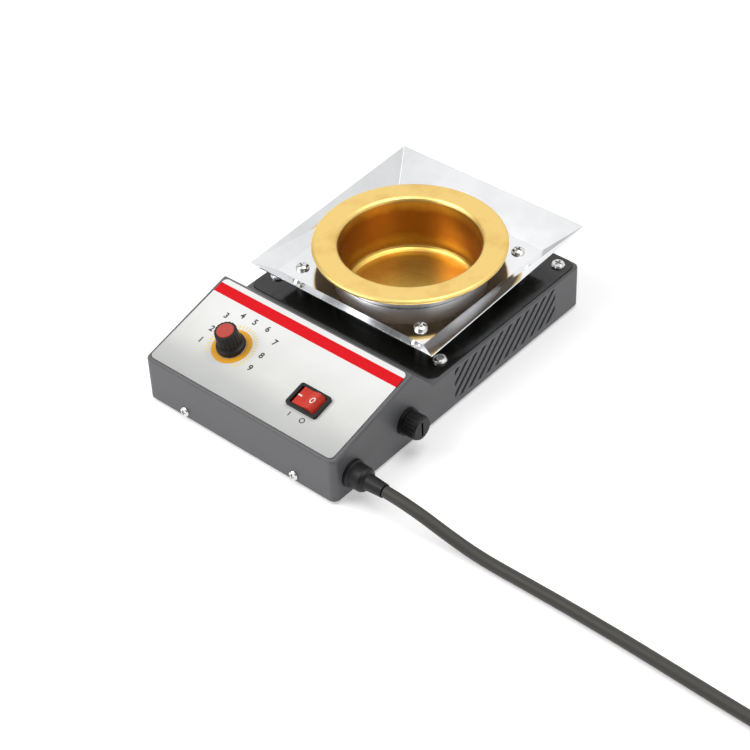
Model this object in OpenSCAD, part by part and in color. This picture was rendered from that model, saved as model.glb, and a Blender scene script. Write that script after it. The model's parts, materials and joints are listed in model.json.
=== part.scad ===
// Electric solder pot: a low housing with a sloping control console in front, and a
// dished crucible standing in a splash tray behind it. Lengths are in millimetres.
// The origin is on the table, under the middle of the whole outline without its cord.
// +X runs to the right along the front, +Y to the back and +Z up.

/* [Housing] */
// Width of the housing across its side walls
body_w = 137; // [134:1:144]
// Length of the housing from front wall to rear wall
body_l = 212; // [208:1:220]
// Height of the front wall's top edge above the table
front_h = 29.6; // [28:0.2:32]
// Height of the console's ridge above the table
ridge_h = 46.3; // [44:0.2:50]
// Height of the housing's flat top behind the console
rear_h = 29.2; // [28.6:0.2:32]
// Plan depth of the sloping console, front wall to ridge
console_d = 64.3; // [60:0.1:68]
// Plan depth of the step down behind the ridge
step_d = 15.5; // [13:0.5:18]
// Wall thickness of the moulded housing
wall = 2.2; // [1.8:0.1:2.6]
// Corner radius of the housing seen from above
corner_r = 4; // [3:0.5:6]
// Radius along the housing's top edges
edge_r = 1.5; // [1:0.1:2]

/* [Vents] */
// Width of a diagonal vent slot
slot_w = 2.3; // [1.6:0.1:2.8]
// Distance from slot to slot along the wall
slot_pitch = 7.75; // [7:0.25:9]

/* [Deck and tray] */
// Thickness of the black deck plate
deck_t = 1.6; // [1.2:0.1:2]
// Gap between the deck plate and the tray
tray_gap = 10.6; // [9:0.2:13]
// Sheet thickness of the tray
tray_t = 0.8; // [0.6:0.1:1.2]
// Height of the tray's front lip above its flat
lip_front = 4.4; // [3:0.2:8]
// Height of the tray's back lip above its flat
lip_back = 10.8; // [6:0.2:14]

/* [Crucible] */
// Distance of the crucible's axis behind the middle of the housing
pot_y = 38; // [36:0.5:40]
// Height of the rim's top face above the table
rim_z = 55; // [54:0.5:60]
// Outer radius of the flat rim
rim_r = 55; // [52:0.5:56]
// Thickness of the rim
rim_t = 2.8; // [2:0.1:3.4]
// Radius of the bore that holds the solder
bore_r = 40.3; // [39:0.1:40.5]
// Depth of the bore
bore_depth = 35.5; // [34:0.5:36]
// Wall thickness of the crucible below its rim
pot_wall = 1.4; // [1:0.1:1.6]

/* [Controls] */
// Sideways place of the knob's axis on the console
knob_x = -30; // [-34:0.5:-26]
// Distance of the knob's axis up the slope from the front edge
knob_v = 30.5; // [28:0.5:34]
// Height of the knob above the label plate
knob_h = 14; // [12:0.5:18]
// Radius of the knob's skirt
skirt_r = 8.4; // [8:0.1:10]
// Sideways place of the rocker switch's middle
switch_x = 32; // [28:0.5:36]
// Distance of the rocker switch's middle up the slope
switch_v = 24; // [22:0.5:28]
// Half of the rocker's travel, in degrees
rocker_tilt = 10; // [7:1:11]

/* [Side fittings] */
// Distance of the fuse holder's axis in front of the middle of the housing
fuse_y = -48; // [-52:1:-44]
// Height of the fuse holder's axis
fuse_z = 18.7; // [17:0.1:20]
// Distance of the cable gland's axis in front of the middle of the housing
gland_y = -92; // [-93:0.5:-88]
// Height of the cable gland's axis
gland_z = 14; // [13:0.5:17]
// Diameter of the mains cord
cord_d = 6.8; // [6.2:0.1:7]

/* [Hidden] */
$fn = 48;
over = 1;

body_z = 2;
tilt = atan((ridge_h - front_h) / console_d);
step_a = atan((ridge_h - rear_h) / step_d);
front_y = -body_l / 2;
ridge_y = front_y + console_d;
slope_l = console_d / cos(tilt);

deck_recess = 1;
deck_z = rear_h - deck_recess;
deck_top = deck_z + deck_t;
deck_half = body_w / 2 - 1.6;
deck_front = -24.5;
deck_back = body_l / 2 - 1.4;
deck_hole_r = 46;
deck_screw_at = [59.5, 53];
deck_screw_y = 43.9;

tray_z = deck_top + tray_gap;
tray_top = tray_z + tray_t;
tray_flat = 53;
tray_half = 65.8;
tray_front = -23.5;
tray_back = 111.3;
tray_hole_r = 44.3;
tray_screw_at = 43;

// The outline runs from the left wall to the gland's sleeve, and from the front screws
// to the tray's back lip
gland_reach = 22;
screw_head_h = 1.8;
body_x = -gland_reach / 2;
body_y = -(tray_back - body_l / 2 - screw_head_h) / 2;

// Radii shared by parts that fit one another
m3_r = 1.5;
m4_r = 2;
shroud_r = 44;
shroud_t = 0.8;
shaft_r = 3;
running_gap = 0.05;

label_v0 = 1.9;
label_v1 = slope_l - 1.2;
label_half = 65.9;
label_t = 0.9;
label_sunk = 0.5;
label_top = label_t - label_sunk;

side_x = body_w / 2;
base_z = 3;
base_t = 1.2;
base_top = base_z + base_t;

// ---- Places ----

// From the housing's own frame, under the middle of its footprint, to the part's frame
module at_body() {
    translate([body_x, body_y, 0]) children();
}

// On the sloping console: x across, v up the slope, h out of it
module on_panel(x, v, h = 0) {
    translate([0, front_y, front_h]) rotate([tilt, 0, 0]) translate([x, v, h]) children();
}

// On the right side wall, with +Z of the child pointing out of the wall
module on_side(y, z) {
    translate([side_x, y, z]) rotate([0, 90, 0]) children();
}

module at_corners(x, y) {
    for (sx = [-1, 1], sy = [-1, 1]) {
        translate([sx * x, sy * y, 0]) children();
    }
}

// ---- Shared shapes ----

module rounded_rect(w, l, r) {
    union() {
        square([w - 2 * r, l], center = true);
        square([w, l - 2 * r], center = true);
        for (sx = [-1, 1], sy = [-1, 1]) {
            translate([sx * (w / 2 - r), sy * (l / 2 - r)]) circle(r = r);
        }
    }
}

module tube(r_out, r_in, h) {
    difference() {
        cylinder(r = r_out, h = h);
        translate([0, 0, -over]) cylinder(r = r_in, h = h + 2 * over);
    }
}

module cross_recess(size, depth) {
    for (a = [0, 90]) {
        rotate([0, 0, a]) translate([-size / 2, -size / 8, -depth]) cube([size, size / 4, depth + over]);
    }
}

// A pan-head screw whose head sits on z = 0 and whose shank points down
module pan_screw(shank_r, head_r, head_h, length) {
    difference() {
        union() {
            rotate_extrude() polygon([
                [0, 0], [head_r, 0], [head_r, head_h * 0.35],
                [head_r * 0.86, head_h * 0.75], [head_r * 0.55, head_h], [0, head_h]
            ]);
            translate([0, 0, -length]) cylinder(r = shank_r, h = length);
        }
        translate([0, 0, head_h]) cross_recess(head_r * 1.15, head_h * 0.7);
    }
}

module hex_nut(across, bore, h) {
    difference() {
        cylinder(r = across / 2 / cos(30), h = h, $fn = 6);
        translate([0, 0, -over]) cylinder(r = bore, h = h + 2 * over);
    }
}

function arc(cx, cy, r, a0, a1, n) = [
    for (i = [0 : n]) let (a = a0 + (a1 - a0) * i / n) [cx + r * cos(a), cy + r * sin(a)]
];

// Points on a smooth curve through the route's points, the same number between each pair
function blend(a, b, c, d, t) =
    0.5 * (2 * b + (c - a) * t + (2 * a - 5 * b + 4 * c - d) * t * t + (3 * b - a - 3 * c + d) * t * t * t);
function smooth(p, n) = let (m = len(p) - 1) concat(
    [for (i = [0 : m - 1], k = [0 : n - 1])
        blend(p[max(i - 1, 0)], p[i], p[i + 1], p[min(i + 2, m)], k / n)],
    [p[m]]
);
function unit(v) = v / norm(v);
function along(p, i) = unit(p[min(i + 1, len(p) - 1)] - p[max(i - 1, 0)]);

// A round tube swept along a path; no stretch of the path may stand upright
module sweep(path, r, sides) {
    n = len(path);
    points = [
        for (i = [0 : n - 1])
            let (t = along(path, i), s = unit(cross([0, 0, 1], t)), u = cross(t, s))
            for (k = [0 : sides - 1])
                path[i] + r * (cos(360 * k / sides) * s + sin(360 * k / sides) * u)
    ];
    skin = [
        for (i = [0 : n - 2], k = [0 : sides - 1])
            let (a = i * sides + k, b = i * sides + (k + 1) % sides)
            each [[a, a + sides, b], [b, a + sides, b + sides]]
    ];
    start = [for (k = [0 : sides - 1]) k];
    end = [for (k = [sides - 1 : -1 : 0]) (n - 1) * sides + k];
    polyhedron(points, concat(skin, [start, end]), convexity = 8);
}

// ---- Housing ----

// Centre of an arc that is d inside both the slope and the step behind the ridge
function ridge_centre(d) =
    let (
        half = (180 - tilt - step_a) / 2,
        inward = unit([cos(step_a) - cos(tilt), -sin(tilt) - sin(step_a)])
    )
    [ridge_y, ridge_h] + inward * d / sin(half);

function slope_z(y, inset) = front_h + (y - front_y) * tan(tilt) - inset / cos(tilt);

module corner_ring(r, edge) {
    rotate_extrude($fn = 28) translate([r - edge, 0]) circle(r = edge, $fn = 12);
}

module console_block() {
    w = body_w / 2;
    e = edge_r;
    c = corner_r;
    ridge = ridge_centre(e);
    foot_z = rear_h - e - 1;
    foot_y = ridge[0] + (ridge[1] - foot_z) / tan(step_a);
    hull() for (s = [-1, 1]) {
        translate([s * (w - c), front_y + c, body_z]) cylinder(r = c, h = 1, $fn = 28);
        translate([s * (w - c), front_y + c, slope_z(front_y + e, 0) - e / cos(tilt)]) corner_ring(c, e);
        translate([s * (w - e), ridge[0], ridge[1]]) sphere(r = e, $fn = 16);
        translate([s * (w - e), foot_y, foot_z]) sphere(r = e, $fn = 16);
        translate([s * (w - e), foot_y, body_z]) cylinder(r = e, h = 1, $fn = 16);
    }
}

module rear_block() {
    w = body_w / 2;
    e = edge_r;
    c = corner_r;
    front = ridge_y - 25;
    hull() for (s = [-1, 1]) {
        translate([s * (w - c), -front_y - c, body_z]) cylinder(r = c, h = 1, $fn = 28);
        translate([s * (w - c), -front_y - c, rear_h - e]) corner_ring(c, e);
        translate([s * (w - e), front, rear_h - e]) sphere(r = e, $fn = 16);
        translate([s * (w - e), front, body_z]) cylinder(r = e, h = 1, $fn = 16);
    }
}

// Inside of the moulding: its side outline, one wall in from the outside
module cavity() {
    ridge = ridge_centre(wall);
    front = front_y + wall;
    foot_z = rear_h - wall;
    rotate([90, 0, 90]) linear_extrude(body_w - 2 * wall, center = true) polygon([
        [front, body_z - over], [front, slope_z(front, wall)], ridge,
        [ridge[0] + (ridge[1] - foot_z) / tan(step_a), foot_z],
        [-front, foot_z], [-front, body_z - over]
    ]);
}

// Diagonal slots, cut off by one upright window in the side wall
module vent_slots() {
    window = [[-7.5, 5.8], [82.5, 26.6]];
    size = window[1] - window[0];
    intersection() {
        translate(window[0]) square(size);
        for (k = [0 : 15]) {
            translate([window[0][0] - 18 + k * slot_pitch, window[0][1]])
                rotate([0, 0, -45]) translate([-slot_w / 2, -5]) square([slot_w, 42]);
        }
    }
}

module side_vents() {
    for (side = [-1, 1]) {
        translate([side * (side_x - wall / 2) - wall, 0, 0])
            rotate([90, 0, 90]) linear_extrude(2 * wall) vent_slots();
    }
}

module label_outline(grow) {
    w = 2 * (label_half + grow);
    l = label_v1 - label_v0 + 2 * grow;
    rounded_rect(w, l, 3 + grow);
}

module deck_outline(grow) {
    w = 2 * (deck_half + grow);
    l = deck_back - deck_front + 2 * grow;
    translate([0, (deck_front + deck_back) / 2]) rounded_rect(w, l, 6 + grow);
}

module housing() color("dimgray") at_body() difference() {
    union() {
        difference() {
            union() {
                console_block();
                rear_block();
            }
            cavity();
        }
        translate([0, deck_screw_y, 0]) at_corners(deck_screw_at[0], deck_screw_at[1])
            translate([0, 0, deck_z - 12]) cylinder(r = 3.6, h = 11.5);
    }
    // Seat of the deck plate, and the square opening under it
    translate([0, 0, deck_z]) linear_extrude(10) deck_outline(0.15);
    translate([0, pot_y, rear_h - 6]) linear_extrude(10) rounded_rect(104, 104, 5);
    translate([0, deck_screw_y, deck_z - 10]) at_corners(deck_screw_at[0], deck_screw_at[1])
        cylinder(r = m3_r, h = 12);
    // Seat of the label plate, and the holes for the controls
    on_panel(0, (label_v0 + label_v1) / 2, -label_sunk) linear_extrude(5) label_outline(0.2);
    on_panel(knob_x, knob_v, -8) cylinder(r = 3.7, h = 12);
    on_panel(switch_x, switch_v, -8) linear_extrude(12) square([19.2, 12.9], center = true);
    side_vents();
    on_side(fuse_y, fuse_z) translate([0, 0, -8]) cylinder(r = 6.1, h = 12);
    on_side(gland_y, gland_z) translate([0, 0, -8]) cylinder(r = 6.1, h = 12);
    for (x = [-40, 40], y = [-1, 1]) {
        translate([x, y * (body_l / 2 - wall / 2), 5.8]) rotate([90, 0, 0])
            cylinder(r = m3_r + 0.1, h = 2 * wall, center = true);
    }
}

// ---- Base ----

base_half_w = body_w / 2 - wall - 0.4;
base_half_l = body_l / 2 - wall - 0.2;
foot_at = [52, 88];

module base_plate() color("lightgray") at_body() difference() {
    union() {
        translate([0, 0, base_z]) linear_extrude(base_t) rounded_rect(2 * base_half_w, 2 * base_half_l, 2);
        for (s = [-1, 1]) {
            translate([-56, s * (base_half_l - base_t / 2) - base_t / 2, base_z]) cube([112, base_t, 9]);
        }
    }
    for (x = [-40, 40], s = [-1, 1]) {
        translate([x, s * base_half_l, 5.8]) rotate([90, 0, 0]) cylinder(r = m3_r, h = 12, center = true);
    }
    at_corners(foot_at[0], foot_at[1]) translate([0, 0, base_z - over]) cylinder(r = m3_r, h = 4);
    // Louvred rows that let cool air in under the heater
    for (y = [-12 : 12.5 : 88], x = [-28, 0, 28]) {
        translate([x, y, base_z - over]) linear_extrude(4) rounded_rect(20, 3, 1.4);
    }
    for (x = [-52, 4], y = [-96, -56]) {
        translate([x, y, base_z - over]) cylinder(r = m3_r, h = 4);
    }
    translate([46, -72, base_z - over]) cylinder(r = m4_r, h = 4);
}

module base_screws() color("silver") at_body() for (x = [-40, 40], s = [-1, 1]) {
    translate([x, s * body_l / 2, 5.8]) rotate([-s * 90, 0, 0]) pan_screw(m3_r, 2.9, screw_head_h, 6);
}

module foot(x, y) {
    color("black") at_body() translate([x * foot_at[0], y * foot_at[1], 0]) difference() {
        rotate_extrude() polygon([[0, 0], [6, 0], [7, 1], [7, base_z], [0, base_z]]);
        translate([0, 0, -over]) cylinder(r = 3.2, h = over + 1.6);
        translate([0, 0, -over]) cylinder(r = m3_r, h = 6);
    }
}
module foot_front_left() foot(-1, -1);
module foot_front_right() foot(1, -1);
module foot_rear_left() foot(-1, 1);
module foot_rear_right() foot(1, 1);

module foot_screws() color("silver") at_body() at_corners(foot_at[0], foot_at[1]) {
    translate([0, 0, 1.6]) mirror([0, 0, 1]) pan_screw(m3_r, 2.8, 1.3, 4.6);
}

// ---- Label and deck ----

module label_plate() color("white") at_body() difference() {
    on_panel(0, (label_v0 + label_v1) / 2, -label_sunk) linear_extrude(label_t) label_outline(0);
    on_panel(knob_x, knob_v, -3) cylinder(r = 3.7, h = 6);
    on_panel(switch_x, switch_v, -3) linear_extrude(6) square([19.2, 12.9], center = true);
}

module deck_plate() color([0.08, 0.08, 0.08]) at_body() difference() {
    translate([0, 0, deck_z]) linear_extrude(deck_t) deck_outline(0);
    translate([0, pot_y, deck_z - over]) cylinder(r = deck_hole_r, h = 4, $fn = 96);
    translate([0, pot_y, deck_z - over]) at_corners(tray_screw_at, tray_screw_at) cylinder(r = m4_r + 0.1, h = 4);
    translate([0, deck_screw_y, deck_z - over]) at_corners(deck_screw_at[0], deck_screw_at[1])
        cylinder(r = m3_r + 0.1, h = 4);
}

module deck_screws() color("silver") at_body() translate([0, deck_screw_y, deck_top]) {
    at_corners(deck_screw_at[0], deck_screw_at[1]) pan_screw(m3_r, 4, 2.2, 10);
}

// ---- Tray ----

// Outline of the tray's sheet at one face: the flat's corners, then the lips' corners
function tray_face(z) = [
    for (s = [[-1, -1], [1, -1], [1, 1], [-1, 1]])
        [s[0] * tray_flat, pot_y + s[1] * tray_flat, z],
    [-tray_half, tray_front, z + lip_front], [tray_half, tray_front, z + lip_front],
    [tray_half, tray_back, z + lip_back], [-tray_half, tray_back, z + lip_back]
];

module tray_sheet() {
    faces = [
        [8, 9, 10], [8, 10, 11],
        for (i = [0 : 3]) let (j = (i + 1) % 4) each [[8 + i, 12 + j, 8 + j], [8 + i, 12 + i, 12 + j]],
        [2, 1, 0], [3, 2, 0],
        for (i = [0 : 3]) let (j = (i + 1) % 4) each [[j, 4 + j, i], [4 + j, 4 + i, i]],
        for (i = [0 : 3]) let (j = (i + 1) % 4) each [[4 + i, 4 + j, 12 + j], [4 + i, 12 + j, 12 + i]]
    ];
    flipped = [for (f = faces) [f[2], f[1], f[0]]];
    polyhedron(concat(tray_face(tray_z), tray_face(tray_top)), flipped);
}

module tray() color("gainsboro") at_body() difference() {
    tray_sheet();
    translate([0, pot_y, tray_z - over]) cylinder(r = tray_hole_r, h = 4, $fn = 96);
    translate([0, pot_y, tray_z - over]) at_corners(tray_screw_at, tray_screw_at) cylinder(r = m4_r + 0.1, h = 4);
}

module spacer(x, y) {
    color("silver") at_body()
        translate([x * tray_screw_at, pot_y + y * tray_screw_at, deck_top]) tube(4, m4_r + 0.1, tray_gap);
}
module spacer_front_left() spacer(-1, -1);
module spacer_front_right() spacer(1, -1);
module spacer_rear_left() spacer(-1, 1);
module spacer_rear_right() spacer(1, 1);

module tray_screws() color("silver") at_body() translate([0, pot_y, tray_top]) {
    at_corners(tray_screw_at, tray_screw_at) pan_screw(m4_r, 3.8, 2.2, 18);
}

flange_t = 1.2;

module tray_nuts() color("silver") at_body() translate([0, pot_y, deck_z - flange_t - 3.2]) {
    at_corners(tray_screw_at, tray_screw_at) hex_nut(7, m4_r, 3.2);
}

// ---- Crucible and heater ----

pot_r = bore_r + pot_wall;
floor_z = rim_z - bore_depth;
pot_bottom = floor_z - 1.6;
shroud_bottom = 8;
pad_top = pot_bottom - 5.6;
stud_r = 2.5;

// Chromed can that carries the crucible's rim
module shroud() color("silver") at_body() translate([0, pot_y, 0]) difference() {
    translate([0, 0, shroud_bottom]) cylinder(r = shroud_r, h = rim_z - rim_t - shroud_bottom, $fn = 96);
    translate([0, 0, shroud_bottom + shroud_t]) cylinder(r = shroud_r - shroud_t, h = 60, $fn = 96);
    translate([0, 0, shroud_bottom - over]) cylinder(r = stud_r + 0.2, h = 4);
    translate([0, -shroud_r, 14.5]) rotate([90, 0, 0]) cylinder(r = 3.4, h = 8, center = true);
    for (a = [30 : 30 : 330]) {
        rotate([0, 0, a]) translate([30, 0, shroud_bottom - over]) cylinder(r = 2, h = 4);
    }
}

// Square plate welded round the can, held under the deck by the tray's screws
module shroud_flange() color("silver") at_body() translate([0, pot_y, deck_z - flange_t]) difference() {
    linear_extrude(flange_t) rounded_rect(100, 100, 5);
    translate([0, 0, -over]) cylinder(r = shroud_r, h = 6, $fn = 96);
    translate([0, 0, -over]) at_corners(tray_screw_at, tray_screw_at) cylinder(r = m4_r + 0.1, h = 6);
}

// One drawn piece
module crucible() color([0.9, 0.68, 0.25]) at_body() translate([0, pot_y, 0]) {
    rotate_extrude($fn = 96) polygon(concat(
        [[0, pot_bottom]],
        arc(pot_r - 6.4, pot_bottom + 6.4, 6.4, -90, 0, 6),
        [[pot_r, rim_z - rim_t], [rim_r - 0.6, rim_z - rim_t]],
        arc(rim_r - 0.8, rim_z - rim_t / 2, rim_t / 2 - 0.2, -60, 60, 4),
        [[rim_r - 1.2, rim_z]],
        arc(bore_r + 3, rim_z - 3, 3, 90, 180, 6),
        arc(bore_r - 5, floor_z + 5, 5, 0, -90, 6),
        [[0, floor_z]]
    ));
}

// Threaded stud welded under the crucible's floor
module crucible_stud() color("silver") at_body() translate([0, pot_y, shroud_bottom - 3]) {
    cylinder(r = stud_r, h = pot_bottom - shroud_bottom + 3);
}

module crucible_nut() color("silver") at_body() translate([0, pot_y, shroud_bottom - 2.7]) {
    hex_nut(8, stud_r, 2.7);
}

// Cast disc with the heating tube's groove rings on its underside
module heater_plate() color("tan") at_body() translate([0, pot_y, 0]) difference() {
    union() {
        translate([0, 0, pad_top]) cylinder(r = 35, h = pot_bottom - pad_top, $fn = 72);
        translate([-8, -42, pad_top + 0.6]) cube([16, 10, 4]);
    }
    translate([0, 0, pad_top - over]) cylinder(r = stud_r + 0.3, h = 12);
    for (r = [12, 20, 28]) {
        translate([0, 0, pad_top - over]) tube(r + 1.5, r - 1.5, over + 1.8);
    }
}

module insulation_pad() color("wheat") at_body() translate([0, pot_y, shroud_bottom + shroud_t]) {
    tube(42.5, stud_r + 0.3, pad_top - shroud_bottom - shroud_t);
}

// Ceramic tube that insulates the heater's leads where they leave the can
module lead_bushing() color("ivory") at_body() translate([0, pot_y - shroud_r - 5, 14.5]) rotate([-90, 0, 0]) {
    tube(3.4, 2.8, 6.5);
}

// ---- Control board ----

board_z = 9.2;
board_t = 1.6;
board_at = [[-52, -96], [4, -96], [-52, -56], [4, -56]];

module control_board() color("green") at_body() difference() {
    translate([-24, -76, board_z]) linear_extrude(board_t) rounded_rect(64, 48, 2);
    for (p = board_at) {
        translate([p[0], p[1], board_z - over]) cylinder(r = m3_r + 0.1, h = 4);
    }
}

module board_spacers() color("white") at_body() for (p = board_at) {
    translate([p[0], p[1], base_top]) tube(3, m3_r, board_z - base_top);
}

module board_screws() color("silver") at_body() for (p = board_at) {
    translate([p[0], p[1], board_z + board_t]) pan_screw(m3_r, 2.8, 1.8, 7.4);
}

board_top = board_z + board_t;

// A flat power package with three legs and a mounting tab
module triac() color([0.15, 0.15, 0.15]) at_body() translate([-46, -84, board_top]) union() {
    translate([0, 0, 3]) cube([4.4, 10, 9]);
    translate([3.4, 0, 12]) cube([1, 10, 4]);
    for (k = [0 : 2]) {
        translate([2, 2 + k * 2.6, 0]) cube([0.8, 0.8, 3]);
    }
}

module heat_sink() color("silver") at_body() translate([-41.6, -88, board_top]) union() {
    cube([2, 20, 12]);
    for (k = [0 : 3]) {
        translate([2, k * 6, 0]) cube([6, 1.6, 12]);
    }
}

module capacitor() color("gold") at_body() translate([-22, -92, board_top]) {
    linear_extrude(11) translate([9, 4]) rounded_rect(18, 8, 1);
}

module choke() color("orange") at_body() translate([-8, -70, board_top]) union() {
    translate([0, 0, 0.6]) tube(8, 4.4, 6.8);
    for (a = [0 : 30 : 330]) {
        rotate([0, 0, a]) translate([3.8, -0.7, 0]) cube([4.8, 1.4, 8]);
    }
}

// ---- Knob and potentiometer ----

pot_top = -wall - 0.3;
bush_top = label_top + 3.6;

module potentiometer() color("gray") at_body() on_panel(knob_x, knob_v) difference() {
    union() {
        translate([0, 0, pot_top - 9]) cylinder(r = 8, h = 9);
        translate([0, 0, pot_top - 0.5]) cylinder(r = 3.6, h = bush_top - pot_top + 0.5);
        for (k = [-1 : 1]) {
            translate([k * 5 - 1, -13, pot_top - 4]) cube([2, 7, 0.8]);
        }
    }
    translate([0, 0, pot_top - 6]) cylinder(r = shaft_r + running_gap, h = 30);
}

module potentiometer_nut() color("silver") at_body() on_panel(knob_x, knob_v, label_top) {
    hex_nut(10.6, 3.6, 2);
}

module knob_shaft() color("silver") at_body() on_panel(knob_x, knob_v, pot_top - 5.5) {
    cylinder(r = shaft_r, h = knob_h - 4 - pot_top + 5.5 + label_top);
}

// Black body with a skirt, a fluted grip and a pocket for the nut; the red cap closes its top
knob_gap = 0.5;
cap_r = 4.9;

module fluted_outline(r, flutes) {
    difference() {
        circle(r = r, $fn = 72);
        for (k = [0 : flutes - 1]) {
            rotate(360 * k / flutes) translate([r + 0.25, 0]) circle(r = 0.6, $fn = 12);
        }
    }
}

module knob() color("black") at_body() on_panel(knob_x, knob_v, label_top + knob_gap) difference() {
    union() {
        rotate_extrude() polygon([
            [0, 0], [skirt_r - 0.3, 0], [skirt_r, 0.4], [skirt_r - 0.2, 2.2], [skirt_r - 1.4, 3.1],
            [6.9, 3.8], [0, 3.8]
        ]);
        translate([0, 0, 3]) linear_extrude(knob_h - 4.2, scale = 0.93) fluted_outline(6.8, 18);
    }
    translate([0, 0, -over]) cylinder(r = 6.3, h = over + 2);
    translate([0, 0, -over]) cylinder(r = 4, h = over + 3.6);
    translate([0, 0, -over]) cylinder(r = shaft_r, h = knob_h - 3.5);
    translate([0, 0, knob_h - 2.2]) cylinder(r = cap_r, h = 4);
}

module knob_cap() color([0.84, 0.3, 0.25]) at_body() on_panel(knob_x, knob_v, label_top + knob_gap) {
    rotate_extrude() polygon([
        [0, knob_h - 2.2], [cap_r, knob_h - 2.2], [cap_r, knob_h - 0.9],
        [cap_r - 0.5, knob_h - 0.5], [0, knob_h - 0.5]
    ]);
}

// ---- Rocker switch ----

bezel_h = 2;
pivot_h = -2.6;
rocker_r = 8.3;
rocker_half_v = 5.6;

module switch_body() color([0.07, 0.07, 0.07]) at_body() on_panel(switch_x, switch_v, label_top) difference() {
    union() {
        linear_extrude(bezel_h) rounded_rect(21, 15, 1.5);
        translate([0, 0, -13]) linear_extrude(13.5) square([18.8, 12.6], center = true);
    }
    translate([0, 0, -7]) linear_extrude(14) square([2 * rocker_r + 0.5, 2 * rocker_half_v + 0.4], center = true);
    translate([0, 0, -11]) linear_extrude(5) square([13, 10], center = true);
    translate([0, 0, pivot_h]) rotate([90, 0, 0]) cylinder(r = 1.2 + running_gap, h = 12.4, center = true);
}

module switch_terminals() color("gold") at_body() on_panel(switch_x, switch_v, label_top) for (x = [-6, 0, 6]) {
    translate([x - 0.4, -2.4, -21]) cube([0.8, 4.8, 8]);
}

module switch_lamp() color("orange") at_body() on_panel(switch_x, switch_v, label_top) {
    translate([-4.5, 0, -9.2]) rotate([0, 90, 0]) rotate_extrude() polygon([
        [0, 0], [1, 0], [1.6, 0.6], [1.6, 7.6], [0.8, 9], [0, 9]
    ]);
}

// Two shallow faces meet in a valley over the pivot; the ends are arcs about it
module rocker_section() {
    reach = 12;
    valley = 4.9;
    rise = reach * tan(rocker_tilt);
    intersection() {
        circle(r = rocker_r, $fn = 96);
        polygon([
            [-reach, -1.6], [reach, -1.6], [reach, valley + rise], [0, valley], [-reach, valley + rise]
        ]);
    }
}

module rocker() color([0.75, 0.12, 0.08]) at_body() on_panel(switch_x, switch_v, label_top + pivot_h) {
    rotate([0, -rocker_tilt, 0]) union() {
        rotate([90, 0, 0]) translate([0, 0, -rocker_half_v]) linear_extrude(2 * rocker_half_v) rocker_section();
        rotate([90, 0, 0]) cylinder(r = 1.2, h = 12.2, center = true);
    }
}

// ---- Fuse holder ----

holder_r = 6;
holder_l = 31;
holder_flange = 1.8;
fuse_r = 2.5;
fuse_l = 20;
fuse_in = 25.4;

// Its +Z points out of the wall
module fuse_holder() color([0.08, 0.08, 0.08]) at_body() on_side(fuse_y, fuse_z) difference() {
    union() {
        cylinder(r = 8, h = holder_flange);
        translate([0, 0, -holder_l]) cylinder(r = holder_r, h = holder_l + 0.5);
    }
    translate([0, 0, -holder_l + 4]) cylinder(r = 4.45, h = 40);
    translate([-2.4, -0.4, -holder_l - over]) cube([4.8, 0.8, 12]);
}

module fuse_holder_nut() color([0.12, 0.12, 0.12]) at_body() on_side(fuse_y, fuse_z) {
    translate([0, 0, -wall - 3]) hex_nut(15, holder_r, 3);
}

module fuse_contact() color("gold") at_body() on_side(fuse_y, fuse_z) union() {
    translate([0, 0, -holder_l + 4]) cylinder(r = 4.4, h = 1.2);
    translate([0, 0, -holder_l + 5]) tube(3.6, fuse_r + running_gap, 3.4);
    translate([-2.4, -0.4, -holder_l - 7]) cube([4.8, 0.8, 12]);
}

module fuse() color("white") at_body() on_side(fuse_y, fuse_z) {
    translate([0, 0, -fuse_in]) cylinder(r = fuse_r, h = fuse_l);
}

module fuse_cap() color([0.06, 0.06, 0.06]) at_body() on_side(fuse_y, fuse_z) difference() {
    union() {
        translate([0, 0, holder_flange + 0.2]) rotate_extrude() polygon([
            [0, 0], [7, 0], [7, 7.6], [6.2, 8.8], [0, 8.8]
        ]);
        translate([0, 0, -9]) cylinder(r = 4.4, h = holder_flange + 10);
    }
    translate([0, 0, -9 - over]) cylinder(r = fuse_r + running_gap, h = 3.7 + over);
    translate([-4.6, -0.7, 9.4]) cube([9.2, 1.4, 4]);
    for (a = [0 : 18 : 342]) {
        rotate([0, 0, a]) translate([7.4, 0, holder_flange + 1.2]) cylinder(r = 0.75, h = 12, $fn = 16);
    }
}

// ---- Wiring ----

module terminal_block() color("ivory") at_body() translate([0, -50, base_top]) difference() {
    cube([30, 16, 12]);
    for (k = [0 : 2]) {
        translate([5 + k * 10, -over, 5]) rotate([-90, 0, 0]) cylinder(r = 1.9, h = 20);
        translate([5 + k * 10, 4, 7]) cylinder(r = 2, h = 10);
        translate([5 + k * 10, 12, 7]) cylinder(r = 2, h = 10);
    }
}

module earth_stud() color("silver") at_body() translate([46, -72, 0]) union() {
    translate([0, 0, base_z - 0.8]) cylinder(r = m4_r, h = 10);
    translate([0, 0, base_top]) cylinder(r = 4, h = 1);
    translate([0, 0, base_top + 1]) cylinder(r = 3.5 / cos(30), h = 3, $fn = 6);
}

wire_r = 1.1;
jacket_end = [side_x - 14, gland_y, gland_z];
heater_entry = [0, pot_y - shroud_r - 4, 14.5];

module wire(name, route) {
    color(name) at_body() sweep(smooth(route, 3), wire_r, 8);
}

module live_wire() wire("brown", [
    jacket_end + [0, 1.6, 0.8], jacket_end + [-6, 4, 0.5], [42, -84, 13], [34, -74, 12], [26, -64, 13],
    [23, -54, 16], [24, -49, 18.7], [30.3, -48, 18.7]
]);

module neutral_wire() wire("dodgerblue", [
    jacket_end + [0, -1.6, 0.8], jacket_end + [-8, -1, 0.6], [38, -90, 9.6], [28, -78, 8.6], [18, -64, 8.6],
    [15.4, -56, 9], [15, -51, 9.2], [15, -46, 9.2]
]);

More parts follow.
